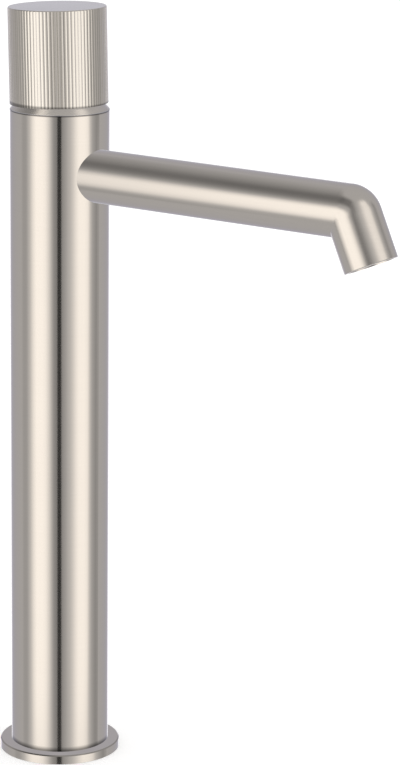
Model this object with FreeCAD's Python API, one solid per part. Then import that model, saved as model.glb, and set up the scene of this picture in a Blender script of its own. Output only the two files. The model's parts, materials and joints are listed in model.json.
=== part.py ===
import FreeCAD, Part
import math
import os

# A tall basin mixer for one tap hole: a round column, a straight round spout turned down at its end,
# and a fluted knob that tilts for flow and turns for temperature.
# Millimetres. +Z is up and +X is the way the spout points. The origin is the middle of the face that
# stands on the basin or worktop. The tap is drawn shut, set halfway between hot and cold.

V = FreeCAD.Vector

# Column and base
BODY_DIA = 45.0
COLUMN_TOP_Z = 301.4
COLUMN_WALL = 3.0
SHOULDER_WIDTH = 0.75
EDGE_BREAK = 0.3
SEAM_EDGE_BREAK = 0.1
FLANGE_DIA = 55.4
FLANGE_THICK = 4.2
FLANGE_EDGE_BREAK = 0.5
GASKET_WIDTH = 2.2
GASKET_THICK = 1.6
BASE_RIM_THICK = 2.0
BASE_RIM_OVERHANG = 2.15
BASE_BLOCK_RISE = 20.0

# Supply connections and fixing stud
INLET_X = -2.5
INLET_HALF_SPACING = 7.6
INLET_THREAD_DIA = 9.0
INLET_THREAD_DEPTH = 12.0
STUD_X = 9.5
STUD_THREAD_DIA = 6.8
STUD_THREAD_DEPTH = 14.0
RISER_DIA = 10.0
RISER_WALL = 1.0
RISER_LEDGE = 0.8
LOWER_SOCKET_DEPTH = 8.0
UPPER_SOCKET_DEPTH = 6.0
RISER_SEAL_SECTION = 1.8

# Spout
SPOUT_DIA = 24.0
SPOUT_BORE_DIA = 18.0
SPOUT_DROP = 28.4
SPOUT_REACH = 158.2
BEND_ANGLE = 66.0
BEND_RADIUS = 2.7
NOZZLE_LENGTH = 24.1

# Aerator, in the mouth of the spout
AERATOR_BORE_DIA = 20.4
AERATOR_BORE_DEPTH = 9.0
AERATOR_RECESS = 0.6
AERATOR_WALL = 1.4
AERATOR_LIP_WIDTH = 0.8
AERATOR_LIP_THICK = 0.8
AERATOR_SEAL_THICK = 1.4
SCREEN_THICK = 0.5
SCREEN_CELL_WIDTH = 1.9
SCREEN_CELL_PITCH = 2.5
INSERT_THICK = 3.6
INSERT_JET_WIDTH = 1.3
INSERT_JET_COUNT = 12
INSERT_JET_CIRCLE = 12.0

# Handle
KNOB_SET_IN = 0.3
KNOB_HEIGHT = 43.3
KNOB_GAP = 2.6
KNOB_WALL = 1.6
KNOB_PLATE = 4.0
KNOB_RIM_RELIEF = 1.5
FLUTE_COUNT = 80
FLUTE_DEPTH = 0.3
NOTCH_SHARE = 0.16
RIB_CROWN = 0.075
TOP_CHAMFER = 0.35
HUB_DIA = 14.0
HUB_RISE = 2.1
SOCKET_DEPTH = 12.8
GRUB_SCREW_DIA = 4.0
GRUB_SCREW_LENGTH = 4.6
GRUB_HEX = 2.0
GRUB_HEX_DEPTH = 2.2
KEY_HOLE_DIA = 5.0
SHUT_LEAN = 1.5
TILT_RANGE = 14.0

# Joystick cartridge
PIVOT_DROP = 13.0
CARTRIDGE_DIA = 25.0
CARTRIDGE_WALL = 1.2
STEM_SQUARE = 8.0
STEM_SHOULDER_RISE = 2.0
PADDLE_LENGTH = 7.0
PADDLE_WIDTH = 6.0
PIVOT_PIN_DIA = 3.0
PIVOT_PIN_INSET = 0.3
FOOT_DEPTH = 14.5
FOOT_BALL_DIA = 6.0
FOOT_NECK_DIA = 4.0
CARRIER_DIA = 15.6
CARRIER_FLOOR = 1.1
CARRIER_FLAT_TRIM = 0.4
MOVING_DISC_THICK = 3.0
HOLLOW_RADIUS = 3.0
HOLLOW_HALF_SPREAD = 1.7
HOLLOW_DEPTH = 1.5
FIXED_DISC_THICK = 3.2
CARTRIDGE_BASE_THICK = 6.0
PORT_DIA = 3.8
PORT_X = -1.6
PORT_HALF_SPACING = 5.0
OUTLET_X = 5.6
PORT_SEAL_SECTION = 1.5
PORT_SEAL_MEAN_DIA = 6.4
PEG_DIA = 3.0
PEG_LENGTH = 1.5
PEG_CIRCLE = 18.6
PEG_ANGLES = (50.0, 180.0)
TURRET_DIA = 19.0
TURRET_FLANGE_THICK = 3.0
TURRET_FLANGE_DEPTH = 6.0
TURRET_RISE = 6.5
TURRET_SLOT_MARGIN = 0.7
TURRET_LEG_LENGTH = 8.3
TURRET_LEG_WIDTH = 6.0
TURN_RANGE = 45.0
STOP_RIB_HALF_ANGLE = 8.0
STOP_SLACK_ANGLE = 1.5
HOUSING_SHOULDER_DEPTH = 2.0
HOUSING_NECK_STEP = 1.0
HOUSING_TOP_RISE = 5.0

# Valve block and what clamps it
BLOCK_FLOOR = 14.0
WAIST_WALL = 2.9
WAIST_MARGIN = 1.8
OUTLET_DRILL_DIA = 5.0
OUTLET_DRILL_DEPTH = 3.8
BLOCK_SEAL_SECTION = 2.3
LOW_SEAL_INSET = 3.6
HIGH_SEAL_INSET = 4.0
NUT_THREAD_STEP = 2.4
NUT_THREAD_LENGTH = 6.0
NUT_THREAD_RUNOUT = 0.5
NUT_HEX_HEIGHT = 3.5
COLLAR_WALL = 2.4
COLLAR_SET_IN = 0.15
SEAM_GAP = 0.2
SEAM_DEPTH = 0.8
CONE_RISE = 2.2
DOME_SETBACK = 0.6
DOME_THICK = 1.6
DOME_OPENING_DIA = 24.0

# Clearances
FIT = 0.1
SLIDE = 0.15
LOOSE = 0.2
RIB_RUNNING = 0.4
FLANGE_RUNNING = 0.5
PIN_RUNNING = 0.08
FACE_RUNNING = 0.05
DISC_RUNNING = 0.03
SEAL_GAP = 0.05
NUT_CLEARANCE = 0.8
TILT_CLEARANCE = 0.35
CUT_OVER = 1.0

# Sizes that follow from those above
BODY_R = BODY_DIA / 2
BORE_R = BODY_R - COLUMN_WALL
LOWER_BORE_R = BORE_R - SHOULDER_WIDTH
BASE_THREAD_R = LOWER_BORE_R - FIT
BASE_RIM_R = BASE_THREAD_R + BASE_RIM_OVERHANG
BASE_TOP_Z = FLANGE_THICK + BASE_BLOCK_RISE
PIVOT_Z = COLUMN_TOP_Z - PIVOT_DROP
SPOUT_Z = COLUMN_TOP_Z - SPOUT_DROP
SPOUT_R = SPOUT_DIA / 2
SPOUT_BORE_R = SPOUT_BORE_DIA / 2
CARTRIDGE_R = CARTRIDGE_DIA / 2
CAVITY_R = CARTRIDGE_R + FIT
CARRIER_BOTTOM_Z = PIVOT_Z - FOOT_DEPTH - FOOT_BALL_DIA / 2 - SLIDE - CARRIER_FLOOR
CARRIER_TOP_Z = PIVOT_Z - FOOT_DEPTH + FOOT_BALL_DIA / 4
MOVING_DISC_Z = CARRIER_BOTTOM_Z - MOVING_DISC_THICK
FIXED_DISC_Z = MOVING_DISC_Z - DISC_RUNNING - FIXED_DISC_THICK
CAVITY_FLOOR_Z = FIXED_DISC_Z - CARTRIDGE_BASE_THICK
BLOCK_BOTTOM_Z = CAVITY_FLOOR_Z - BLOCK_FLOOR
SHOULDER_Z = PIVOT_Z - HOUSING_SHOULDER_DEPTH
BLOCK_TOP_Z = SHOULDER_Z + NUT_THREAD_LENGTH
BLOCK_R = BORE_R - LOOSE
WAIST_R = CAVITY_R + WAIST_WALL
NUT_THREAD_R = CAVITY_R + NUT_THREAD_STEP
HOUSING_NECK_R = CARTRIDGE_R - HOUSING_NECK_STEP
HOUSING_INNER_R = CARTRIDGE_R - CARTRIDGE_WALL
TURRET_R = TURRET_DIA / 2
TURRET_FLANGE_R = HOUSING_INNER_R - FLANGE_RUNNING
TURRET_FLANGE_TOP_Z = PIVOT_Z - TURRET_FLANGE_DEPTH
TURRET_BOTTOM_Z = TURRET_FLANGE_TOP_Z - TURRET_FLANGE_THICK
COLLAR_OUTER_R = BORE_R - FIT
COLLAR_INNER_R = COLLAR_OUTER_R - COLLAR_WALL
NUT_HEX_CORNER_R = COLLAR_INNER_R - NUT_CLEARANCE
TOP_CORNER_REACH = math.hypot(BODY_R, PIVOT_DROP)
DOME_R = TOP_CORNER_REACH - DOME_SETBACK
KNOB_R = BODY_R - KNOB_SET_IN
KNOB_BOTTOM_Z = COLUMN_TOP_Z + KNOB_GAP
KNOB_TOP_Z = KNOB_BOTTOM_Z + KNOB_HEIGHT
KNOB_INNER_R = KNOB_R - KNOB_WALL
RIM_SQUARE = (TOP_CORNER_REACH + TILT_CLEARANCE) ** 2 - (PIVOT_DROP + KNOB_GAP) ** 2
RIM_INNER_R = max(KNOB_INNER_R, math.sqrt(RIM_SQUARE))
HUB_BOTTOM_Z = PIVOT_Z + DOME_R + HUB_RISE
STEM_TOP_Z = HUB_BOTTOM_Z + SOCKET_DEPTH
GRUB_SCREW_Z = HUB_BOTTOM_Z + SOCKET_DEPTH / 2
FOOT_REST_X = FOOT_DEPTH * math.sin(math.radians(SHUT_LEAN))


def rod(radius, z0, z1, x=0.0, y=0.0):
    """A round bar along Z."""
    return Part.makeCylinder(radius, z1 - z0, V(x, y, z0))


def tube(outer, inner, z0, z1, x=0.0, y=0.0):
    """A round tube along Z."""
    return rod(outer, z0, z1, x, y).cut(rod(inner, z0, z1, x, y))


def block(x0, x1, y0, y1, z0, z1):
    """A rectangular block between two corners."""
    return Part.makeBox(x1 - x0, y1 - y0, z1 - z0, V(x0, y0, z0))


def square_seal(mean_radius, section, z, x=0.0, y=0.0):
    """A square-cut rubber ring lying flat, centred at height z."""
    half = section / 2
    return tube(mean_radius + half, mean_radius - half, z - half, z + half, x, y)


def turned(points):
    """The solid that a closed outline of (radius, height) points sweeps round the Z axis."""
    outline = Part.makePolygon([V(r, 0, z) for r, z in points + points[:1]])
    return Part.Face(outline).revolve(V(0, 0, 0), V(0, 0, 1), 360)


def fused(shapes):
    """One solid from several that touch or overlap."""
    return shapes[0].fuse(shapes[1:]).removeSplitter()


def polar(radius, angle):
    """A point in the plan view, from its radius and its angle in radians."""
    return radius * math.cos(angle), radius * math.sin(angle)


def sector(radius, middle_angle, half_angle, z0, z1):
    """A wedge of a round bar, from the Z axis out, about a middle angle in degrees."""
    wedge = Part.makeCylinder(radius, z1 - z0, V(0, 0, z0), V(0, 0, 1), 2 * half_angle)
    wedge.rotate(V(0, 0, 0), V(0, 0, 1), middle_angle - half_angle)
    return wedge


def hexagon(corner_radius, z0, z1, x=0.0, y=0.0):
    """A six-sided bar along Z."""
    corners = [polar(corner_radius, math.radians(60 * i)) for i in range(6)]
    outline = Part.makePolygon([V(x + cx, y + cy, z0) for cx, cy in corners + corners[:1]])
    return Part.Face(outline).extrude(V(0, 0, z1 - z0))


def leaned(shape):
    """A handle piece drawn upright, leaned back on the pivot to where it rests when the tap is shut."""
    copy = shape.copy()
    copy.rotate(V(0, 0, PIVOT_Z), V(0, 1, 0), -SHUT_LEAN)
    return copy


# Column, base and supply

def body_column():
    """The column: a tube with a shoulder inside for the valve block, open to the spout."""
    profile = [
        (LOWER_BORE_R, FLANGE_THICK),
        (BODY_R, FLANGE_THICK),
        (BODY_R, COLUMN_TOP_Z - SEAM_EDGE_BREAK),
        (BODY_R - SEAM_EDGE_BREAK, COLUMN_TOP_Z),
        (BORE_R, COLUMN_TOP_Z),
        (BORE_R, BLOCK_BOTTOM_Z),
        (LOWER_BORE_R, BLOCK_BOTTOM_Z),
    ]
    outlet = Part.makeCylinder(SPOUT_BORE_R, BODY_R + CUT_OVER, V(0, 0, SPOUT_Z), V(1, 0, 0))
    return turned(profile).cut(outlet)


def flange_recess_radius():
    """The recess under the foot ring that takes the rim of the base block."""
    return BASE_RIM_R + LOOSE


def gasket_mean_radius():
    """The middle of the gasket, halfway across the land between the recess and the outer edge."""
    return (flange_recess_radius() + FLANGE_DIA / 2) / 2


def flange_ring():
    """The foot ring, clamped between the column and the rim of the base block."""
    outer = FLANGE_DIA / 2
    bore = BASE_THREAD_R + SLIDE
    recess = flange_recess_radius()
    groove_in = gasket_mean_radius() - GASKET_WIDTH / 2 - LOOSE
    groove_out = gasket_mean_radius() + GASKET_WIDTH / 2 + LOOSE
    return turned([
        (bore, FLANGE_THICK),
        (bore, BASE_RIM_THICK),
        (recess, BASE_RIM_THICK),
        (recess, 0),
        (groove_in, 0),
        (groove_in, GASKET_THICK),
        (groove_out, GASKET_THICK),
        (groove_out, 0),
        (outer, 0),
        (outer, FLANGE_THICK - FLANGE_EDGE_BREAK),
        (outer - FLANGE_EDGE_BREAK, FLANGE_THICK),
    ])


def base_gasket():
    """The flat rubber ring that seals the foot ring to the basin."""
    middle = gasket_mean_radius()
    return tube(middle + GASKET_WIDTH / 2, middle - GASKET_WIDTH / 2, 0, GASKET_THICK)


def inlets():
    """The (x, y) of the hot and the cold side."""
    return (INLET_X, INLET_HALF_SPACING), (INLET_X, -INLET_HALF_SPACING)


def lower_socket_z():
    """The floor of the sockets in the base block, where the risers stand."""
    return BASE_TOP_Z - LOWER_SOCKET_DEPTH


def upper_socket_z():
    """The end of the sockets in the valve block, where the risers stop."""
    return BLOCK_BOTTOM_Z + UPPER_SOCKET_DEPTH


def riser_seal_heights():
    """The height of the seals in the base block, and of those in the valve block."""
    return BASE_TOP_Z - LOWER_SOCKET_DEPTH / 2, BLOCK_BOTTOM_Z + UPPER_SOCKET_DEPTH / 2


def seal_groove(x, y, z):
    """The ring-shaped space that a riser's seal takes out of its socket wall."""
    radius = RISER_DIA / 2 + 2 * SEAL_GAP + RISER_SEAL_SECTION
    half_height = RISER_SEAL_SECTION / 2 + FIT
    return rod(radius, z - half_height, z + half_height, x, y)


def base_block():
    """The threaded foot block: hoses and the fixing stud screw in below, the risers plug in above."""
    low_seals, _ = riser_seal_heights()
    solid = fused([rod(BASE_RIM_R, 0, BASE_RIM_THICK), rod(BASE_THREAD_R, 0, BASE_TOP_Z)])
    for x, y in inlets():
        solid = solid.cut([
            rod(INLET_THREAD_DIA / 2, 0, INLET_THREAD_DEPTH, x, y),
            rod(RISER_DIA / 2 - RISER_WALL - RISER_LEDGE, 0, BASE_TOP_Z, x, y),
            rod(RISER_DIA / 2 + FIT, lower_socket_z(), BASE_TOP_Z, x, y),
            seal_groove(x, y, low_seals),
        ])
    return solid.cut(rod(STUD_THREAD_DIA / 2, 0, STUD_THREAD_DEPTH, STUD_X, 0))


def riser_pipe(x, y):
    """A copper pipe from the base block up to the valve block."""
    radius = RISER_DIA / 2
    return tube(radius, radius - RISER_WALL, lower_socket_z(), upper_socket_z(), x, y)


def riser_o_rings():
    """The seals round both ends of both risers."""
    mean = RISER_DIA / 2 + SEAL_GAP + RISER_SEAL_SECTION / 2
    places = [(x, y, z) for x, y in inlets() for z in riser_seal_heights()]
    return [square_seal(mean, RISER_SEAL_SECTION, z, x, y) for x, y, z in places]


# Valve block

def block_seal_heights():
    """The height of the valve block's lower seal and of its upper one."""
    return BLOCK_BOTTOM_Z + LOW_SEAL_INSET, BLOCK_TOP_Z - HIGH_SEAL_INSET


def cartridge_ports():
    """The (x, y) of the hot inlet, the cold inlet and the outlet of the cartridge."""
    return (PORT_X, PORT_HALF_SPACING), (PORT_X, -PORT_HALF_SPACING), (OUTLET_X, 0)


def peg_places():
    """The (x, y) of the pegs that stop the cartridge base from turning."""
    return [polar(PEG_CIRCLE / 2, math.radians(angle)) for angle in PEG_ANGLES]


def valve_block():
    """The brass block that holds the cartridge. Its waist is a ring of water open to the spout."""
    groove_floor = BORE_R - 2 * SEAL_GAP - BLOCK_SEAL_SECTION
    half_groove = BLOCK_SEAL_SECTION / 2 + FIT
    drill_z = CAVITY_FLOOR_Z - OUTLET_DRILL_DEPTH
    waist_bottom = drill_z - OUTLET_DRILL_DIA / 2 - WAIST_MARGIN / 2
    waist_top = SPOUT_Z + SPOUT_BORE_R + WAIST_MARGIN
    low_seal, high_seal = block_seal_heights()
    solid = turned([
        (0, BLOCK_BOTTOM_Z),
        (BLOCK_R, BLOCK_BOTTOM_Z),
        (BLOCK_R, low_seal - half_groove),
        (groove_floor, low_seal - half_groove),
        (groove_floor, low_seal + half_groove),
        (BLOCK_R, low_seal + half_groove),
        (BLOCK_R, waist_bottom),
        (WAIST_R, waist_bottom),
        (WAIST_R, waist_top),
        (BLOCK_R, waist_top),
        (BLOCK_R, high_seal - half_groove),
        (groove_floor, high_seal - half_groove),
        (groove_floor, high_seal + half_groove),
        (BLOCK_R, high_seal + half_groove),
        (BLOCK_R, BLOCK_TOP_Z),
        (NUT_THREAD_R, BLOCK_TOP_Z),
        (NUT_THREAD_R, SHOULDER_Z - NUT_THREAD_RUNOUT),
        (CAVITY_R, SHOULDER_Z - NUT_THREAD_RUNOUT),
        (CAVITY_R, CAVITY_FLOOR_Z),
        (0, CAVITY_FLOOR_Z),
    ])
    hot, cold, outlet = cartridge_ports()
    _, high_riser_seals = riser_seal_heights()
    for (x, y), port in zip(inlets(), (hot, cold)):
        solid = solid.cut([
            rod(RISER_DIA / 2 + FIT, BLOCK_BOTTOM_Z, upper_socket_z(), x, y),
            seal_groove(x, y, high_riser_seals),
            rod(PORT_DIA / 2, upper_socket_z() - CUT_OVER, CAVITY_FLOOR_Z, *port),
        ])
    outlet_drill = Part.makeCylinder(OUTLET_DRILL_DIA / 2, BLOCK_R, V(OUTLET_X, 0, drill_z), V(1, 0, 0))
    peg_holes = [
        rod(PEG_DIA / 2 + FIT, CAVITY_FLOOR_Z - PEG_LENGTH - FIT, CAVITY_FLOOR_Z, x, y)
        for x, y in peg_places()
    ]
    return solid.cut([rod(PORT_DIA / 2, drill_z, CAVITY_FLOOR_Z, *outlet), outlet_drill] + peg_holes)


def valve_block_o_rings():
    """The two seals that close the ring of water off above and below the waist."""
    mean = BORE_R - SEAL_GAP - BLOCK_SEAL_SECTION / 2
    return [square_seal(mean, BLOCK_SEAL_SECTION, z) for z in block_seal_heights()]


def retaining_nut():
    """The nut that screws into the valve block and holds the cartridge down."""
    top_z = BLOCK_TOP_Z + NUT_HEX_HEIGHT
    thread = rod(NUT_THREAD_R - FIT, SHOULDER_Z, BLOCK_TOP_Z)
    solid = fused([thread, hexagon(NUT_HEX_CORNER_R, BLOCK_TOP_Z, top_z)])
    return solid.cut(rod(HOUSING_NECK_R + LOOSE, SHOULDER_Z, top_z))


def on_sphere(radius, r):
    """The (r, z) point at radius r on a sphere about the pivot."""
    return r, PIVOT_Z + math.sqrt(radius ** 2 - r ** 2)


def collar_ring():
    """The screwed collar over the cartridge. Nothing above its cone reaches past a sphere about the pivot."""
    cone_foot_z = COLUMN_TOP_Z + SEAM_GAP
    cone_top_z = cone_foot_z + CONE_RISE
    cone_top_r = math.sqrt(DOME_R ** 2 - (cone_top_z - PIVOT_Z) ** 2)
    opening = DOME_OPENING_DIA / 2
    return turned([
        (COLLAR_INNER_R, BLOCK_TOP_Z),
        (COLLAR_OUTER_R, BLOCK_TOP_Z),
        (COLLAR_OUTER_R, COLUMN_TOP_Z),
        (BODY_R - SEAM_DEPTH, COLUMN_TOP_Z),
        (BODY_R - SEAM_DEPTH, cone_foot_z),
        (BODY_R - COLLAR_SET_IN, cone_foot_z),
        (cone_top_r, cone_top_z),
        on_sphere(DOME_R, opening),
        on_sphere(DOME_R - DOME_THICK, opening),
        on_sphere(DOME_R - DOME_THICK, COLLAR_INNER_R),
    ])


# Cartridge

def cartridge_base():
    """The plastic foot of the cartridge, with its ports, seal grooves and locating pegs."""
    mean = PORT_SEAL_MEAN_DIA / 2
    half_groove = PORT_SEAL_SECTION / 2 + FIT
    groove_top = CAVITY_FLOOR_Z + PORT_SEAL_SECTION
    solid = rod(CARTRIDGE_R - FIT, CAVITY_FLOOR_Z, FIXED_DISC_Z)
    for x, y in cartridge_ports():
        solid = solid.cut([
            rod(PORT_DIA / 2, CAVITY_FLOOR_Z, FIXED_DISC_Z, x, y),
            tube(mean + half_groove, mean - half_groove, CAVITY_FLOOR_Z, groove_top, x, y),
        ])
    pegs = [rod(PEG_DIA / 2, CAVITY_FLOOR_Z - PEG_LENGTH, CAVITY_FLOOR_Z, x, y) for x, y in peg_places()]
    return fused([solid] + pegs)


def port_seals():
    """The three seals between the cartridge base and the valve block."""
    z = CAVITY_FLOOR_Z + PORT_SEAL_SECTION / 2
    return [square_seal(PORT_SEAL_MEAN_DIA / 2, PORT_SEAL_SECTION, z, x, y) for x, y in cartridge_ports()]


def fixed_ceramic_disc():
    """The lower ceramic disc, with the same three ports as the base it lies on."""
    top_z = FIXED_DISC_Z + FIXED_DISC_THICK
    ports = [rod(PORT_DIA / 2, FIXED_DISC_Z, top_z, x, y) for x, y in cartridge_ports()]
    return rod(HOUSING_INNER_R - FIT, FIXED_DISC_Z, top_z).cut(ports)


def moving_ceramic_disc():
    """The upper ceramic disc. The hollow under it joins the inlets to the outlet once it has slid back."""
    solid = rod(CARRIER_DIA / 2, MOVING_DISC_Z, CARRIER_BOTTOM_Z, FOOT_REST_X, 0)
    x = FOOT_REST_X + HOLLOW_RADIUS
    y = HOLLOW_HALF_SPREAD
    top_z = MOVING_DISC_Z + HOLLOW_DEPTH
    hollow = fused([
        rod(HOLLOW_RADIUS, MOVING_DISC_Z, top_z, x, -y),
        rod(HOLLOW_RADIUS, MOVING_DISC_Z, top_z, x, y),
        block(x - HOLLOW_RADIUS, x + HOLLOW_RADIUS, -y, y, MOVING_DISC_Z, top_z),
    ])
    return solid.cut(hollow)


def carrier_half_width():
    """Half the width between the two flats of the disc carrier."""
    return CARRIER_DIA / 2 - CARRIER_FLAT_TRIM


def disc_carrier():
    """The slider keyed to the moving disc. The ball foot of the lever works in its pocket."""
    span = CARRIER_DIA
    half = carrier_half_width()
    solid = rod(CARRIER_DIA / 2, CARRIER_BOTTOM_Z, CARRIER_TOP_Z, FOOT_REST_X, 0)
    solid = solid.common(block(-span, span, -half, half, CARRIER_BOTTOM_Z, CARRIER_TOP_Z))
    pocket_floor_z = CARRIER_BOTTOM_Z + CARRIER_FLOOR
    return solid.cut(rod(FOOT_BALL_DIA / 2 + SLIDE, pocket_floor_z, CARRIER_TOP_Z, FOOT_REST_X, 0))


def cartridge_housing():
    """The cartridge shell: it rests on the base, and a lip at its top keeps the turret in."""
    top_z = PIVOT_Z + HOUSING_TOP_RISE
    lip_z = TURRET_FLANGE_TOP_Z + FACE_RUNNING
    shell = turned([
        (HOUSING_INNER_R, FIXED_DISC_Z),
        (CARTRIDGE_R, FIXED_DISC_Z),
        (CARTRIDGE_R, SHOULDER_Z),
        (HOUSING_NECK_R, SHOULDER_Z),
        (HOUSING_NECK_R, top_z),
        (TURRET_R + FIT, top_z),
        (TURRET_R + FIT, lip_z),
        (HOUSING_INNER_R, lip_z),
    ])
    rib_outer = HOUSING_INNER_R + CARTRIDGE_WALL / 2
    rib = sector(rib_outer, 180, STOP_RIB_HALF_ANGLE, TURRET_BOTTOM_Z, lip_z + FACE_RUNNING)
    rib = rib.cut(rod(TURRET_R + RIB_RUNNING, TURRET_BOTTOM_Z, lip_z + FACE_RUNNING))
    return fused([shell, rib])


def turret_slot():
    """Half the length and half the width of the slot that the paddle swings in."""
    swing = math.radians(TILT_RANGE - SHUT_LEAN)
    below = PIVOT_Z - TURRET_BOTTOM_Z
    half_length = PADDLE_LENGTH / 2 * math.cos(swing) + below * math.sin(swing) + TURRET_SLOT_MARGIN
    return half_length, PADDLE_WIDTH / 2 + FIT


def turret_leg(side):
    """One of the two legs that hug the flats of the disc carrier, on the +Y or the -Y side."""
    bottom_z = TURRET_BOTTOM_Z - TURRET_LEG_LENGTH
    half = TURRET_LEG_WIDTH / 2
    y0, y1 = sorted((side * (carrier_half_width() + SLIDE), side * CARTRIDGE_R))
    leg = block(-half, half, y0, y1, bottom_z, TURRET_BOTTOM_Z)
    return leg.common(rod(TURRET_FLANGE_R, bottom_z, TURRET_BOTTOM_Z))


def cross_bar(radius, half_length):
    """A round bar through the pivot, along Y."""
    return Part.makeCylinder(radius, 2 * half_length, V(0, -half_length, PIVOT_Z), V(0, 1, 0))


def pivot_pin():
    """The steel pin that the lever rocks on."""
    return cross_bar(PIVOT_PIN_DIA / 2, TURRET_R - PIVOT_PIN_INSET)


def stem_turret():
    """The part that turns with the handle, carries the cross pin and guides the disc carrier."""
    top_z = PIVOT_Z + TURRET_RISE
    gap_half_angle = TURN_RANGE + STOP_RIB_HALF_ANGLE + STOP_SLACK_ANGLE
    gap = sector(TURRET_FLANGE_R + CUT_OVER, 180, gap_half_angle, TURRET_BOTTOM_Z, TURRET_FLANGE_TOP_Z)
    flange = rod(TURRET_FLANGE_R, TURRET_BOTTOM_Z, TURRET_FLANGE_TOP_Z).cut(gap)
    solid = fused([flange, rod(TURRET_R, TURRET_BOTTOM_Z, top_z), turret_leg(-1), turret_leg(1)])
    slot_x, slot_y = turret_slot()
    slot = block(-slot_x, slot_x, -slot_y, slot_y, TURRET_BOTTOM_Z - CUT_OVER, top_z)
    return solid.cut([slot, pivot_pin()])


def ball(radius, z):
    """A ball on the Z axis, turned in flats: two cones, two steeper ones and a short band."""
    corners = [(radius * math.cos(math.radians(a)), z + radius * math.sin(math.radians(a)))
               for a in (-60, -20, 20, 60)]
    return turned([(0, z - radius)] + corners + [(0, z + radius)])


def lever_stem():
    """The lever: a square end for the knob, a flat paddle on the cross pin and a ball foot."""
    half = STEM_SQUARE / 2
    paddle_top = PIVOT_Z + TURRET_RISE + STEM_SHOULDER_RISE
    foot_z = PIVOT_Z - FOOT_DEPTH
    half_x = PADDLE_LENGTH / 2
    half_y = PADDLE_WIDTH / 2
    solid = fused([
        block(-half, half, -half, half, paddle_top, STEM_TOP_Z),
        block(-half_x, half_x, -half_y, half_y, TURRET_BOTTOM_Z, paddle_top),
        rod(FOOT_NECK_DIA / 2, foot_z, TURRET_BOTTOM_Z),
        ball(FOOT_BALL_DIA / 2, foot_z),
    ])
    return leaned(solid.cut(cross_bar(PIVOT_PIN_DIA / 2 + PIN_RUNNING, STEM_SQUARE)))


# Knob

def fluted_outline(z):
    """The knob's plan outline at height z: rounded ribs with a V-shaped notch between them."""
    pitch = 2 * math.pi / FLUTE_COUNT
    notch_half = pitch * NOTCH_SHARE / 2
    valley_r = KNOB_R - FLUTE_DEPTH
    shoulder_r = KNOB_R - RIB_CROWN

    def point(radius, angle):
        return V(*polar(radius, angle), z)

    edges = []
    for rib in range(FLUTE_COUNT):
        start = rib * pitch
        valley = point(valley_r, start)
        left = point(shoulder_r, start + notch_half)
        crown = point(KNOB_R, start + pitch / 2)
        right = point(shoulder_r, start + pitch - notch_half)
        next_valley = point(valley_r, (rib + 1) % FLUTE_COUNT * pitch)
        edges.append(Part.LineSegment(valley, left).toShape())
        edges.append(Part.Arc(left, crown, right).toShape())
        edges.append(Part.LineSegment(right, next_valley).toShape())
    return Part.Wire(edges)


def knob_socket():
    """The square hole up the hub, a little deeper than the stem is long."""
    half = STEM_SQUARE / 2 + FACE_RUNNING
    return block(-half, half, -half, half, HUB_BOTTOM_Z, STEM_TOP_Z + 2 * SLIDE)


def knob():
    """The hollow fluted knob, with a hub inside for the square of the stem."""
    barrel = Part.Face(fluted_outline(KNOB_BOTTOM_Z)).extrude(V(0, 0, KNOB_HEIGHT))
    chamfer = turned([
        (KNOB_R - TOP_CHAMFER, KNOB_TOP_Z),
        (KNOB_R + CUT_OVER, KNOB_TOP_Z - TOP_CHAMFER - CUT_OVER),
        (KNOB_R + CUT_OVER, KNOB_TOP_Z + CUT_OVER),
    ])
    plate_z = KNOB_TOP_Z - KNOB_PLATE
    hollow = turned([
        (0, KNOB_BOTTOM_Z),
        (RIM_INNER_R, KNOB_BOTTOM_Z),
        (KNOB_INNER_R, KNOB_BOTTOM_Z + KNOB_RIM_RELIEF),
        (KNOB_INNER_R, plate_z),
        (HUB_DIA / 2, plate_z),
        (HUB_DIA / 2, HUB_BOTTOM_Z),
        (0, HUB_BOTTOM_Z),
    ])
    back = V(-1, 0, 0)
    key_hole = Part.makeCylinder(KEY_HOLE_DIA / 2, KNOB_R, V(-HUB_DIA / 2, 0, GRUB_SCREW_Z), back)
    tapped = Part.makeCylinder(GRUB_SCREW_DIA / 2, HUB_DIA / 2, V(0, 0, GRUB_SCREW_Z), back)
    return leaned(barrel.cut([chamfer, hollow, knob_socket(), key_hole, tapped]))


def knob_grub_screw():
    """The socket set screw that clamps the hub to the stem, reached from the back of the knob."""
    tip = STEM_SQUARE / 2
    end = tip + GRUB_SCREW_LENGTH
    screw = rod(GRUB_SCREW_DIA / 2 - FACE_RUNNING, tip, end)
    screw = screw.cut(hexagon(GRUB_HEX / math.sqrt(3), end - GRUB_HEX_DEPTH, end))
    screw.rotate(V(0, 0, 0), V(0, 1, 0), -90)
    screw.translate(V(0, 0, GRUB_SCREW_Z))
    return leaned(screw)


# Spout and aerator

def spout_form(radius, start_x):
    """A round bar along the spout: level arm, tight bend and nozzle, sharp on the inside of the bend."""
    turn = math.radians(BEND_ANGLE)
    setback = BEND_RADIUS * math.tan(turn / 2)
    centre = V(SPOUT_REACH - setback, 0, SPOUT_Z - BEND_RADIUS)
    along = V(math.cos(turn), 0, -math.sin(turn))
    arm = Part.makeCylinder(radius, centre.x - start_x, V(start_x, 0, SPOUT_Z), V(1, 0, 0))
    disc = Part.Face(Part.Wire(Part.makeCircle(radius, V(centre.x, 0, SPOUT_Z), V(1, 0, 0))))
    reach = SPOUT_DIA
    outside_bend = block(centre.x - reach, centre.x + reach, -reach, reach, centre.z, centre.z + reach)
    elbow = disc.common(outside_bend).revolve(centre, V(0, 1, 0), BEND_ANGLE)
    nozzle_start = centre + V(math.sin(turn), 0, math.cos(turn)) * BEND_RADIUS
    nozzle = Part.makeCylinder(radius, NOZZLE_LENGTH - setback, nozzle_start, along)
    return fused([arm, elbow, nozzle])


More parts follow.
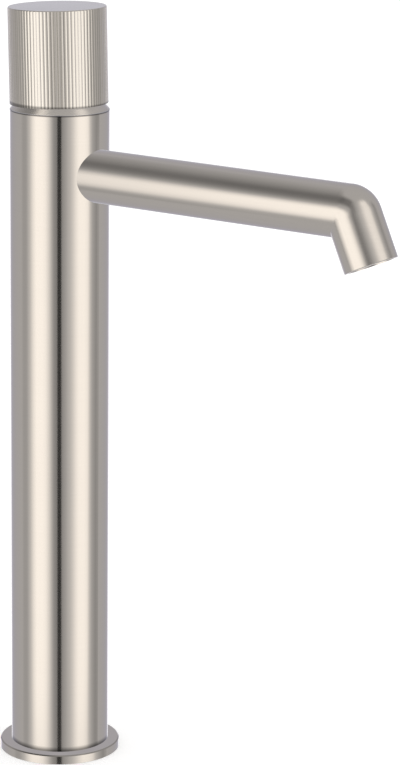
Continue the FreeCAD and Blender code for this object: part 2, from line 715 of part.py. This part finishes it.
def at_mouth(shape):
    """A piece drawn on the Z axis with the mouth at z = 0, moved into the mouth of the spout."""
    turn = math.radians(BEND_ANGLE)
    copy = shape.copy()
    copy.rotate(V(0, 0, 0), V(0, 1, 0), BEND_ANGLE - 90)
    copy.translate(V(SPOUT_REACH, 0, SPOUT_Z) + V(math.cos(turn), 0, -math.sin(turn)) * NOZZLE_LENGTH)
    return copy


def spout_tube():
    """The spout, brazed to the side of the column."""
    mouth_break = turned([
        (SPOUT_R - EDGE_BREAK, 0),
        (SPOUT_R + CUT_OVER, -CUT_OVER),
        (SPOUT_R + CUT_OVER, EDGE_BREAK + CUT_OVER),
    ])
    aerator_bore = rod(AERATOR_BORE_DIA / 2, -CUT_OVER, AERATOR_BORE_DEPTH)
    solid = spout_form(SPOUT_R, 0).cut(spout_form(SPOUT_BORE_R, 0))
    return solid.cut([at_mouth(aerator_bore), at_mouth(mouth_break), rod(BODY_R, 0, COLUMN_TOP_Z)])


def aerator_inner_radius():
    """The inside of the aerator housing, above its lip."""
    return AERATOR_BORE_DIA / 2 - FIT - AERATOR_WALL


def screen_z():
    """How far inside the mouth the screen lies, on the lip of the housing."""
    return AERATOR_RECESS + AERATOR_LIP_THICK


def aerator_housing():
    """The threaded ring that screws into the mouth, set a little back from its edge."""
    outer = AERATOR_BORE_DIA / 2 - FIT
    inner = aerator_inner_radius()
    top = AERATOR_BORE_DEPTH - AERATOR_SEAL_THICK
    return at_mouth(turned([
        (inner - AERATOR_LIP_WIDTH, AERATOR_RECESS),
        (outer, AERATOR_RECESS),
        (outer, top),
        (inner, top),
        (inner, screen_z()),
        (inner - AERATOR_LIP_WIDTH, screen_z()),
    ]))


def honeycomb(pitch, reach):
    """Points of a hexagonal grid within a reach of its middle."""
    rows = int(reach / pitch) + 1
    grid = [
        (pitch * row * math.sqrt(0.75), pitch * (column + row / 2))
        for row in range(-rows, rows + 1)
        for column in range(-2 * rows, 2 * rows + 1)
    ]
    return [(x, y) for x, y in grid if math.hypot(x, y) <= reach]


def aerator_screen():
    """The honeycomb plate that shows in the mouth."""
    radius = aerator_inner_radius() - FIT
    z0 = screen_z()
    z1 = z0 + SCREEN_THICK
    corner = SCREEN_CELL_WIDTH / math.sqrt(3)
    places = honeycomb(SCREEN_CELL_PITCH, radius - AERATOR_LIP_WIDTH - corner)
    return at_mouth(rod(radius, z0, z1).cut([hexagon(corner, z0, z1, x, y) for x, y in places]))


def aerator_insert():
    """The plastic mixer above the screen, with a ring of six-sided jets."""
    z0 = screen_z() + SCREEN_THICK
    z1 = z0 + INSERT_THICK
    corner = INSERT_JET_WIDTH / math.sqrt(3)
    angles = [2 * math.pi * jet / INSERT_JET_COUNT for jet in range(INSERT_JET_COUNT)]
    jets = [hexagon(corner, z0, z1, *polar(INSERT_JET_CIRCLE / 2, angle)) for angle in angles]
    return at_mouth(rod(aerator_inner_radius() - FIT, z0, z1).cut(jets))


def aerator_seal():
    """The flat washer between the aerator and the step in the bore."""
    outer = AERATOR_BORE_DIA / 2 - LOOSE
    inner = aerator_inner_radius() - AERATOR_LIP_WIDTH
    return at_mouth(tube(outer, inner, AERATOR_BORE_DEPTH - AERATOR_SEAL_THICK, AERATOR_BORE_DEPTH))


def parts():
    """Every sub-part by the name of its file. A list of solids becomes one group."""
    hot, cold = inlets()
    return {
        "body_column": body_column(),
        "flange_ring": flange_ring(),
        "base_gasket": base_gasket(),
        "base_block": base_block(),
        "riser_pipe_hot": riser_pipe(*hot),
        "riser_pipe_cold": riser_pipe(*cold),
        "riser_o_rings": riser_o_rings(),
        "valve_block": valve_block(),
        "valve_block_o_rings": valve_block_o_rings(),
        "retaining_nut": retaining_nut(),
        "collar_ring": collar_ring(),
        "cartridge_base": cartridge_base(),
        "port_seals": port_seals(),
        "fixed_ceramic_disc": fixed_ceramic_disc(),
        "cartridge_housing": cartridge_housing(),
        "stem_turret": stem_turret(),
        "pivot_pin": pivot_pin(),
        "moving_ceramic_disc": moving_ceramic_disc(),
        "disc_carrier": disc_carrier(),
        "lever_stem": lever_stem(),
        "knob": knob(),
        "knob_grub_screw": knob_grub_screw(),
        "spout_tube": spout_tube(),
        "aerator_housing": aerator_housing(),
        "aerator_screen": aerator_screen(),
        "aerator_insert": aerator_insert(),
        "aerator_seal": aerator_seal(),
    }


os.makedirs("parts", exist_ok=True)
for name, shape in parts().items():
    solids = shape if isinstance(shape, list) else shape.Solids
    whole = solids[0] if len(solids) == 1 else Part.makeCompound(solids)
    whole.exportStep("parts/" + name + ".step")
    print(name, len(solids), "solid(s),", round(whole.Volume), "mm3, valid", whole.isValid())
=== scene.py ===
import json
import math

import bpy
from mathutils import Matrix, Vector


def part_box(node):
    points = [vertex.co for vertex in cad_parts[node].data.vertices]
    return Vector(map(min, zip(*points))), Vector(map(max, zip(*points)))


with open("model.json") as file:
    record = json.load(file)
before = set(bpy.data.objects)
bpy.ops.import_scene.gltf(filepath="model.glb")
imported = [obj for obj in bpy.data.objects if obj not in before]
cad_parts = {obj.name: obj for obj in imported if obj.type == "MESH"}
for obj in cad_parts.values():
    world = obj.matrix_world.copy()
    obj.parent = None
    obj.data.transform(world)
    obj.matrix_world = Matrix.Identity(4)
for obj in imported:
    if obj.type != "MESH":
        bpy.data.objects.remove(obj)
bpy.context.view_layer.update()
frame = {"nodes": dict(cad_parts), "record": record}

# A tall basin mixer in brushed nickel, shut, seen a little from above. Metres, in the frame of the CAD.

# Camera: where it stands, worked out from the photograph for a column 45 mm across
CAMERA_DISTANCE = 1.4442
CAMERA_HEIGHT = 0.5267
CAMERA_AZIMUTH = 38.488
CAMERA_PITCH = 13.679
CAMERA_YAW = 2.546
CAMERA_ROLL = 0.598
FOCAL_PIXELS = 3244.9
IMAGE_HEIGHT = 765.0
SENSOR = 36.0
CLIP_NEAR = 0.05
CLIP_FAR = 50.0

# Finishes: colours, a metal's tint at a glancing angle, and how much and how finely each varies
NICKEL = (0.365, 0.340, 0.315)
KNOB_NICKEL = (0.335, 0.311, 0.281)
SATIN = (0.2, 0.19, 0.18)
BRASS = (0.72, 0.53, 0.25)
COPPER = (0.74, 0.4, 0.26)
STEEL = (0.3, 0.3, 0.31)
WHITE = (0.8, 0.8, 0.77)
GREY = (0.2, 0.21, 0.23)
BLACK = (0.022, 0.022, 0.023)
IVORY = (0.86, 0.85, 0.82)
METAL_EDGE = (0.72, 0.715, 0.8, 1)
METAL_TONE_SPREAD = 0.05
ALONG_GRAIN = 20.0
CLOUDING = 35.0
MOULDED_TONE_SPREAD = 0.1
MOULDED_ROUGHNESS_SPREAD = 0.08
RELIEF_HEIGHT = 0.0002

# Where painted shade goes: the nozzle's fall, and how surely a surface belongs to a cut end or a bevel
NOZZLE_FALL = math.radians(66)
END_ALIGNMENT = 0.95
BEVEL_RISE = 0.6
BEVEL_RISE_MARGIN = 0.3

# Lighting: colours and levels, how far the lamps and cards are, and the height that the high ones face
WARM_WHITE = (1.0, 0.955, 0.885)
CLEAR_WHITE = (1.0, 0.985, 0.96)
SURROUND_LEVEL = 0.9
AREA_LAMP_WATTS = 4.0
LAMP_DISTANCE = 1.5
HIGH_LAMP_DISTANCE = 1.0
SIDE_CARD_DISTANCE = 1.25
HIGH_PANEL_AIM = 0.29
FLOOR_SIZE = 6.0
FLOOR_GAP = 0.0002
FLOOR_WHITE = 0.88
FLOOR_LIFT = 0.32

nodes = frame["nodes"]
column_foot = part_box("body_column")[0].z
column_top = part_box("body_column")[1].z


def direction(azimuth, elevation=0.0):
    """A unit vector, with azimuth counted from the camera's side of the object, positive to the right."""
    turn = math.radians(CAMERA_AZIMUTH + azimuth)
    rise = math.radians(elevation)
    flat = math.cos(rise)
    return Vector((math.sin(turn) * flat, -math.cos(turn) * flat, math.sin(rise)))


# Camera

def make_camera():
    """The camera of the photograph, with no shift and no depth of field."""
    data = bpy.data.cameras.new("camera")
    data.sensor_width = SENSOR
    data.lens = FOCAL_PIXELS / IMAGE_HEIGHT * SENSOR
    data.clip_start = CLIP_NEAR
    data.clip_end = CLIP_FAR
    camera = bpy.data.objects.new("camera", data)
    bpy.context.collection.objects.link(camera)
    place = direction(0) * CAMERA_DISTANCE
    place.z = CAMERA_HEIGHT
    heading = math.radians(CAMERA_AZIMUTH - CAMERA_YAW)
    level = Matrix.Rotation(heading, 4, "Z")
    tilt = Matrix.Rotation(math.radians(90 - CAMERA_PITCH), 4, "X")
    roll = Matrix.Rotation(math.radians(CAMERA_ROLL), 4, "Z")
    camera.matrix_world = Matrix.Translation(place) @ level @ tilt @ roll
    bpy.context.scene.camera = camera


make_camera()


# Finishes

class Shader:
    """A material, with short calls that add nodes to it and join them."""

    def __init__(self, name):
        self.material = bpy.data.materials.new(name)
        self.material.use_nodes = True
        self.tree = self.material.node_tree
        self.surface = self.tree.nodes["Principled BSDF"]

    def add(self, kind, **values):
        """A new node. Each value goes to its property of that name, or else to its socket."""
        node = self.tree.nodes.new(kind)
        for key, value in values.items():
            if hasattr(node, key):
                setattr(node, key, value)
            else:
                node.inputs[key.replace("_", " ")].default_value = value
        return node

    def link(self, source, target):
        self.tree.links.new(source, target)

    def set(self, **values):
        """Values on the surface's own sockets."""
        for key, value in values.items():
            self.surface.inputs[key.replace("_", " ")].default_value = value

    def object_coords(self):
        return self.add("ShaderNodeTexCoord").outputs["Object"]

    def noise(self, coords, **values):
        """A noise texture over some coordinates."""
        texture = self.add("ShaderNodeTexNoise", **values)
        self.link(coords, texture.inputs["Vector"])
        return texture.outputs["Fac"]

    def upward(self, vector):
        """The Z component of a vector."""
        split = self.add("ShaderNodeSeparateXYZ")
        self.link(vector, split.inputs["Vector"])
        return split.outputs["Z"]

    def vary_colour(self, value, colour, spread):
        """The colour runs from a share darker to a share lighter with the value."""
        tone = self.add("ShaderNodeMix", data_type="RGBA")
        tone.inputs["A"].default_value = (*[c * (1 - spread) for c in colour], 1)
        tone.inputs["B"].default_value = (*[min(1, c * (1 + spread)) for c in colour], 1)
        self.link(value, tone.inputs["Factor"])
        self.link(tone.outputs["Result"], self.surface.inputs["Base Color"])

    def vary_roughness(self, value, roughness, spread, low=0.0, high=1.0):
        """The roughness spreads to both sides as the value goes from low to high."""
        rough = self.add("ShaderNodeMapRange", From_Min=low, From_Max=high,
                         To_Min=roughness - spread, To_Max=roughness + spread)
        self.link(value, rough.inputs["Value"])
        self.link(rough.outputs["Result"], self.surface.inputs["Roughness"])

    def emboss(self, height, strength):
        """A relief that follows the value."""
        relief = self.add("ShaderNodeBump", Strength=strength, Distance=RELIEF_HEIGHT)
        self.link(height, relief.inputs["Height"])
        self.link(relief.outputs["Normal"], self.surface.inputs["Normal"])

    def darken(self, mask, depth):
        """The colour is multiplied by the depth where the mask is 1, and stays where it is 0."""
        colour = self.surface.inputs["Base Color"].links[0].from_socket
        mix = self.add("ShaderNodeMix", data_type="RGBA", blend_type="MULTIPLY")
        mix.inputs["B"].default_value = (depth, depth, depth, 1)
        self.link(mask, mix.inputs["Factor"])
        self.link(colour, mix.inputs["A"])
        self.link(mix.outputs["Result"], self.surface.inputs["Base Color"])


def brushed_metal(name, colour, roughness, spread=0.02, grain=3000.0, bump=0.01):
    """Metal turned or brushed round the vertical: fine level lines in colour, roughness and height."""
    s = Shader(name)
    s.set(Metallic=1.0, Base_Color=(*colour, 1), Roughness=roughness, Specular_Tint=METAL_EDGE)
    stretch = s.add("ShaderNodeMapping", Scale=(ALONG_GRAIN, ALONG_GRAIN, grain))
    s.link(s.object_coords(), stretch.inputs["Vector"])
    lines = s.noise(stretch.outputs["Vector"], Scale=1.0, Detail=4.0, Roughness=0.7)
    clouds = s.noise(s.object_coords(), Scale=CLOUDING, Detail=3.0)
    both = s.add("ShaderNodeMath", operation="ADD")
    s.link(lines, both.inputs[0])
    s.link(clouds, both.inputs[1])
    s.vary_colour(lines, colour, METAL_TONE_SPREAD)
    s.vary_roughness(both.outputs["Value"], roughness, spread, low=0.6, high=1.4)
    s.emboss(lines, bump)
    return s


def moulded(name, colour, roughness, speckle=220.0, bump=0.1):
    """Moulded plastic, rubber or ceramic: a faint mottle in colour, roughness and height."""
    s = Shader(name)
    s.set(Roughness=roughness)
    mottle = s.noise(s.object_coords(), Scale=speckle, Detail=5.0)
    s.vary_colour(mottle, colour, MOULDED_TONE_SPREAD)
    s.vary_roughness(mottle, roughness, MOULDED_ROUGHNESS_SPREAD)
    s.emboss(mottle, bump)
    return s


def shadow_line(s, clear, dark, depth):
    """A painted shadow line at a joint: the metal keeps its colour at one height and has the depth at
    another.
    """
    band = s.add("ShaderNodeMapRange", From_Min=clear, From_Max=dark)
    s.link(s.upward(s.object_coords()), band.inputs["Value"])
    s.darken(band.outputs["Result"], depth)


def painted_shade_on_end(s, axis, depth):
    """Painted shade on a cut end: darker wherever the surface looks along the axis."""
    along = s.add("ShaderNodeVectorMath", operation="DOT_PRODUCT")
    s.link(s.add("ShaderNodeNewGeometry").outputs["True Normal"], along.inputs[0])
    along.inputs[1].default_value = axis
    cut = s.add("ShaderNodeMath", operation="GREATER_THAN")
    cut.inputs[1].default_value = END_ALIGNMENT
    s.link(along.outputs["Value"], cut.inputs[0])
    s.darken(cut.outputs["Value"], depth)


def painted_shade_on_bevel(s, depth):
    """Painted shade on a bevel: darker wherever the surface looks neither up nor out."""
    tilted = s.add("ShaderNodeMath", operation="COMPARE")
    tilted.inputs[1].default_value = BEVEL_RISE
    tilted.inputs[2].default_value = BEVEL_RISE_MARGIN
    s.link(s.upward(s.add("ShaderNodeNewGeometry").outputs["True Normal"]), tilted.inputs[0])
    s.darken(tilted.outputs["Value"], depth)


def column_nickel():
    """Brushed nickel, with painted shadow lines where the column stands on the foot ring and where the
    collar closes it.
    """
    s = brushed_metal("column nickel", NICKEL, roughness=0.1, grain=6000)
    shadow_line(s, clear=column_foot + 0.0024, dark=column_foot + 0.0006, depth=0.3)
    shadow_line(s, clear=column_top - 0.0007, dark=column_top - 0.0004, depth=0.35)
    return s


def fluted_nickel():
    """The knob's nickel, with a painted shadow line along its foot."""
    s = brushed_metal("fluted nickel", KNOB_NICKEL, roughness=0.15)
    shadow_line(s, clear=column_top + 0.0042, dark=column_top + 0.0034, depth=0.4)
    return s


def spout_nickel():
    """Softer brushed nickel, with painted shade on the nozzle's cut end."""
    s = brushed_metal("brushed spout nickel", NICKEL, roughness=0.17)
    painted_shade_on_end(s, axis=(math.cos(NOZZLE_FALL), 0, -math.sin(NOZZLE_FALL)), depth=0.45)
    return s


def ring_nickel():
    """The foot ring's nickel, with painted shade on its bevel."""
    s = brushed_metal("foot ring nickel", NICKEL, roughness=0.1, grain=6000)
    painted_shade_on_bevel(s, depth=0.65)
    return s


# The four brushed_nickel pieces each have a finish of their own, and the other slots have one each
finishes = {
    "body_column": column_nickel(),
    "brushed_nickel_knob": fluted_nickel(),
    "collar_ring": brushed_metal("collar nickel", NICKEL, roughness=0.24),
    "spout_tube": spout_nickel(),
    "flange_ring": ring_nickel(),
    "aerator_metal": brushed_metal("aerator metal", SATIN, roughness=0.25, spread=0.03, bump=0.02),
    "raw_brass": brushed_metal("machined brass", BRASS, roughness=0.28, spread=0.05, grain=4000, bump=0.05),
    "copper": brushed_metal("copper tube", COPPER, roughness=0.26, spread=0.06, grain=500, bump=0.04),
    "stainless": brushed_metal("turned steel", STEEL, roughness=0.25, spread=0.04, grain=4000, bump=0.04),
    "white_plastic": moulded("white plastic", WHITE, roughness=0.45),
    "grey_plastic": moulded("grey plastic", GREY, roughness=0.5),
    "black_rubber": moulded("black rubber", BLACK, roughness=0.6, bump=0.2),
    "ceramic": moulded("alumina ceramic", IVORY, roughness=0.2, speckle=400, bump=0.03),
}

for part in frame["record"]["subparts"]:
    own_or_slot = part["node"] if part["node"] in finishes else part["material_slot"]
    mesh = nodes[part["node"]].data
    mesh.materials.clear()
    mesh.materials.append(finishes[own_or_slot].material)

# The metal mirrors only the studio and not its neighbours, as in the photograph
for piece in nodes.values():
    piece.visible_glossy = False


# Floor and surround

def make_floor():
    """A plain white floor that takes the shadow. The metal mirrors the white surround below it."""
    bpy.ops.mesh.primitive_plane_add(size=FLOOR_SIZE, location=(0, 0, -FLOOR_GAP))
    floor = bpy.context.object
    floor.name = "floor"
    s = Shader("floor")
    s.set(Base_Color=(FLOOR_WHITE, FLOOR_WHITE, FLOOR_WHITE, 1), Roughness=0.9, Emission_Color=(1, 1, 1, 1))
    seen = s.add("ShaderNodeLightPath").outputs["Is Camera Ray"]
    lift = s.add("ShaderNodeMath", operation="MULTIPLY")
    lift.inputs[1].default_value = FLOOR_LIFT
    s.link(seen, lift.inputs[0])
    s.link(lift.outputs["Value"], s.surface.inputs["Emission Strength"])
    floor.data.materials.append(s.material)
    floor.visible_glossy = False
    floor.visible_shadow = False


def make_surround():
    """A white surround: the camera and the metal see it white, and it lights the rest more softly."""
    world = bpy.data.worlds.new("surround")
    bpy.context.scene.world = world
    world.use_nodes = True
    tree = world.node_tree
    background = tree.nodes["Background"]
    background.inputs["Color"].default_value = (1, 1, 1, 1)
    path = tree.nodes.new("ShaderNodeLightPath")
    seen = path.outputs["Is Camera Ray"]
    for ray in ("Is Glossy Ray", "Is Transmission Ray"):
        either = tree.nodes.new("ShaderNodeMath")
        either.operation = "MAXIMUM"
        tree.links.new(seen, either.inputs[0])
        tree.links.new(path.outputs[ray], either.inputs[1])
        seen = either.outputs["Value"]
    strength = tree.nodes.new("ShaderNodeMapRange")
    strength.inputs["To Min"].default_value = SURROUND_LEVEL
    strength.inputs["To Max"].default_value = 1.0
    tree.links.new(seen, strength.inputs["Value"])
    tree.links.new(strength.outputs["Result"], background.inputs["Strength"])


# Panels: the lamps and the shading cards are flat and face the tap.
# An upright one has a profile across, of (azimuth, value) pairs from its left edge to its right,
# and a profile up, of (height, value) pairs from its bottom to its top.

class Panel:
    """A panel's middle, the way that leads from the tap to it, its width and its height."""

    def __init__(self, place, away, width, height):
        self.place = place
        self.away = away
        self.width = width
        self.height = height

    def hold(self, thing):
        """Puts a lamp or a card in the panel's place, with its face to the tap."""
        thing.location = self.place
        thing.rotation_mode = "QUATERNION"
        thing.rotation_quaternion = self.away.to_track_quat("Z", "Y")


def upright_panel(across, up, distance):
    """A panel that stands upright round the tap, as wide and as high as its profiles."""
    left, right = across[0][0], across[-1][0]
    bottom, top = up[0][0], up[-1][0]
    away = direction((left + right) / 2)
    place = away * distance
    place.z = (bottom + top) / 2
    half_width = distance * math.tan(math.radians((right - left) / 2))
    return Panel(place, away, 2 * half_width, top - bottom)


def high_panel(azimuth, elevation, distance, width, height):
    """A panel above the tap, turned towards the top of the column."""
    away = direction(azimuth, elevation)
    return Panel(away * distance + Vector((0, 0, HIGH_PANEL_AIM)), away, width, height)


def by_azimuth(across):
    """An upright panel's profile across, as stops along its width."""
    left, right = across[0][0], across[-1][0]
    middle = (left + right) / 2
    half = math.tan(math.radians((right - left) / 2))
    return [(0.5 + math.tan(math.radians(a - middle)) / half / 2, value) for a, value in across]


def by_height(up):
    """An upright panel's profile up, as stops along its height."""
    bottom, top = up[0][0], up[-1][0]
    return [((z - bottom) / (top - bottom), value) for z, value in up]


def ramp(tree, coordinate, stops):
    """A value that follows straight stretches between (place, value) stops, along a 0 to 1 coordinate."""
    node = tree.nodes.new("ShaderNodeValToRGB")
    band = node.color_ramp
    while len(band.elements) < len(stops):
        band.elements.new(position=0.5)
    for element, (place, value) in zip(band.elements, stops):
        element.position = place
        element.color = (value, value, value, 1)
    tree.links.new(coordinate, node.inputs["Fac"])
    return node.outputs["Color"]


def two_way_ramp(tree, face, across, up):
    """Two ramps over a panel's face, one across it and one up it, multiplied."""
    split = tree.nodes.new("ShaderNodeSeparateXYZ")
    tree.links.new(face, split.inputs["Vector"])
    both = tree.nodes.new("ShaderNodeMath")
    both.operation = "MULTIPLY"
    tree.links.new(ramp(tree, split.outputs["X"], across), both.inputs[0])
    tree.links.new(ramp(tree, split.outputs["Y"], up), both.inputs[1])
    return both.outputs["Value"]


def area_lamp(name, panel, level, colour, lights):
    """A soft lamp whose face looks as bright as its level. It lights only the pieces named, if any are."""
    data = bpy.data.lights.new(name, "AREA")
    data.shape = "RECTANGLE"
    data.size = panel.width
    data.size_y = panel.height
    data.energy = level * panel.width * panel.height * AREA_LAMP_WATTS
    data.color = colour
    lamp = bpy.data.objects.new(name, data)
    bpy.context.collection.objects.link(lamp)
    panel.hold(lamp)
    if lights:
        lit = bpy.data.collections.new(name + " parts")
        for node in lights:
            lit.objects.link(nodes[node])
        lamp.light_linking.receiver_collection = lit
    return lamp


def softbox(name, level, across, up, distance=LAMP_DISTANCE, colour=WARM_WHITE, lights=()):
    """An upright soft lamp, which has its level where both profiles are 1."""
    lamp = area_lamp(name, upright_panel(across, up, distance), level, colour, lights)
    lamp.data.use_nodes = True
    tree = lamp.data.node_tree
    face = tree.nodes.new("ShaderNodeNewGeometry").outputs["Parametric"]
    profile = two_way_ramp(tree, face, by_azimuth(across), by_height(up))
    tree.links.new(profile, tree.nodes["Emission"].inputs["Strength"])


def shading_card(name, panel, across, up):
    """A card that the metal mirrors and the camera doesn't see.

    Its ramps say how much it hides of what is behind it, the light of the lamps included.
    """
    bpy.ops.mesh.primitive_plane_add(size=1.0)
    card = bpy.context.object
    card.name = name
    card.scale = (panel.width, panel.height, 1)
    panel.hold(card)
    s = Shader(name)
    face = s.add("ShaderNodeTexCoord").outputs["Generated"]
    clear = s.add("ShaderNodeBsdfTransparent")
    dark = s.add("ShaderNodeEmission", Strength=0.0)
    mix = s.add("ShaderNodeMixShader")
    s.link(two_way_ramp(s.tree, face, across, up), mix.inputs["Fac"])
    s.link(clear.outputs["BSDF"], mix.inputs[1])
    s.link(dark.outputs["Emission"], mix.inputs[2])
    s.link(mix.outputs["Shader"], s.tree.nodes["Material Output"].inputs["Surface"])
    card.data.materials.append(s.material)
    card.visible_camera = False
    card.visible_diffuse = False
    card.visible_transmission = False


def upright_card(name, distance, across, up):
    """A shading card that stands upright, from its profiles."""
    shading_card(name, upright_panel(across, up, distance), by_azimuth(across), by_height(up))


# Lamps and cards

def light_body():
    """A long soft lamp to each side in front and a low one to each side behind.

    The front ones leave out the knob, whose flutes have lamps of their own.
    """
    all_but_knob = [node for node in nodes if node != "knob"]
    softbox("left_softbox", 1.28, lights=all_but_knob,
            across=((-81, 0), (-73, 0.22), (-64, 0.72), (-56, 1), (-41, 1), (-33, 0.88), (-26, 0.54),
                    (-19, 0.15), (-14, 0)),
            up=((-0.8, 0), (-0.5, 1), (0.6, 1), (1.0, 0)))
    softbox("right_softbox", 1.22, lights=all_but_knob,
            across=((10, 0), (16, 0.04), (23, 0.17), (30, 0.42), (37, 0.74), (45, 1), (58, 1),
                    (67, 0.86), (74, 0.27), (80, 0)),
            up=((-0.8, 0), (-0.5, 1), (0.6, 1), (0.9, 0.7), (2.0, 0.7), (3.0, 0)))
    rear_profile = ((157, 0), (163, 1), (171, 1), (176, 0))
    for side in (-1, 1):
        softbox("rear_softbox", 0.6,
                across=sorted((side * azimuth, value) for azimuth, value in rear_profile),
                up=((-0.8, 0), (-0.5, 1), (0.3, 1), (0.45, 0)))


def light_knob():
    """Three lamps that light only the knob: its two bright bands and the softer zone between them."""
    up = ((-0.8, 0), (-0.5, 1), (0.6, 1), (1.0, 0))
    softbox("knob_left_softbox", 1.6, up=up, colour=CLEAR_WHITE, lights=["knob"],
            across=((-72, 0), (-62, 1), (-36, 1), (-26, 0.4), (-20, 0)))
    softbox("knob_right_softbox", 1.45, up=up, colour=CLEAR_WHITE, lights=["knob"],
            across=((16, 0), (26, 0.7), (34, 1), (54, 1), (66, 0.45), (75, 0)))
    softbox("knob_front_softbox", 0.5, up=up, colour=CLEAR_WHITE, lights=["knob"], distance=1.1,
            across=((-26, 0), (-16, 1), (12, 1), (20, 0)))


def light_spout():
    """A lamp for the bright band along the arm."""
    softbox("arm_softbox", 0.75, lights=["spout_tube"],
            across=((-94, 0), (-84, 1), (-68, 1), (-58, 0)),
            up=((-0.78, 0), (-0.63, 0.16), (-0.34, 0.72), (-0.05, 0.9), (0.22, 0.92), (0.46, 0.95),
                (0.72, 0.62), (1.0, 0)))


def light_gap():
    """Two high lamps for the collar's cone, in the gap under the knob."""
    left = high_panel(-66, 59, HIGH_LAMP_DISTANCE, width=0.5, height=0.4)
    area_lamp("gap_left_softbox", left, 1.3, WARM_WHITE, lights=["collar_ring"])
    right = high_panel(74, 56, HIGH_LAMP_DISTANCE, width=0.6, height=0.4)
    area_lamp("gap_right_softbox", right, 0.9, WARM_WHITE, lights=["collar_ring"])


def shade_metal():
    """Cards for the dark bands: down the column's middle, at its sides, and along the arm."""
    upright_card("camera_side_card", 1.2,
                 across=((-24, 0), (-19, 0.06), (-12, 0.32), (-5, 0.5), (5, 0.35), (9, 0.2), (18, 0)),
                 up=((-0.9, 1), (1.0, 1), (1.7, 0)))
    upright_card("camera_core_card", 1.15,
                 across=((-5.5, 0.84), (3.5, 0.84)),
                 up=((-0.9, 1), (0.42, 1), (0.46, 0)))
    upright_card("left_grey_card", SIDE_CARD_DISTANCE,
                 across=((-100, 0), (-93, 0.15), (-85, 0.15), (-79, 0)),
                 up=((-0.9, 1), (0.4, 1), (0.6, 0)))
    upright_card("right_grey_card", SIDE_CARD_DISTANCE,
                 across=((79, 0), (86, 0.18), (93, 0.34), (99, 0.16), (105, 0)),
                 up=((-0.9, 1), (0.9, 1), (1.2, 0)))
    shading_card("high_left_card", high_panel(-102, 49, 1.3, width=2.2, height=1.3),
                 across=((0, 0), (0.12, 0.25), (0.3, 0.4), (0.5, 0.58), (0.62, 0.58), (0.8, 0.4), (1, 0)),
                 up=((0, 0), (0.12, 0.4), (0.3, 0.85), (0.45, 1), (0.6, 0.85), (0.75, 0.6), (1, 0)))
    shading_card("high_front_card", high_panel(-46, 51, 1.32, width=2.0, height=1.0),
                 across=((0, 0), (0.25, 0.25), (0.45, 0.6), (0.75, 0.6), (1, 0)),
                 up=((0, 0), (0.3, 1), (0.7, 1), (1, 0)))


make_floor()
make_surround()
light_body()
light_knob()
light_spout()
light_gap()
shade_metal()

bpy.context.scene.view_settings.view_transform = "Standard"
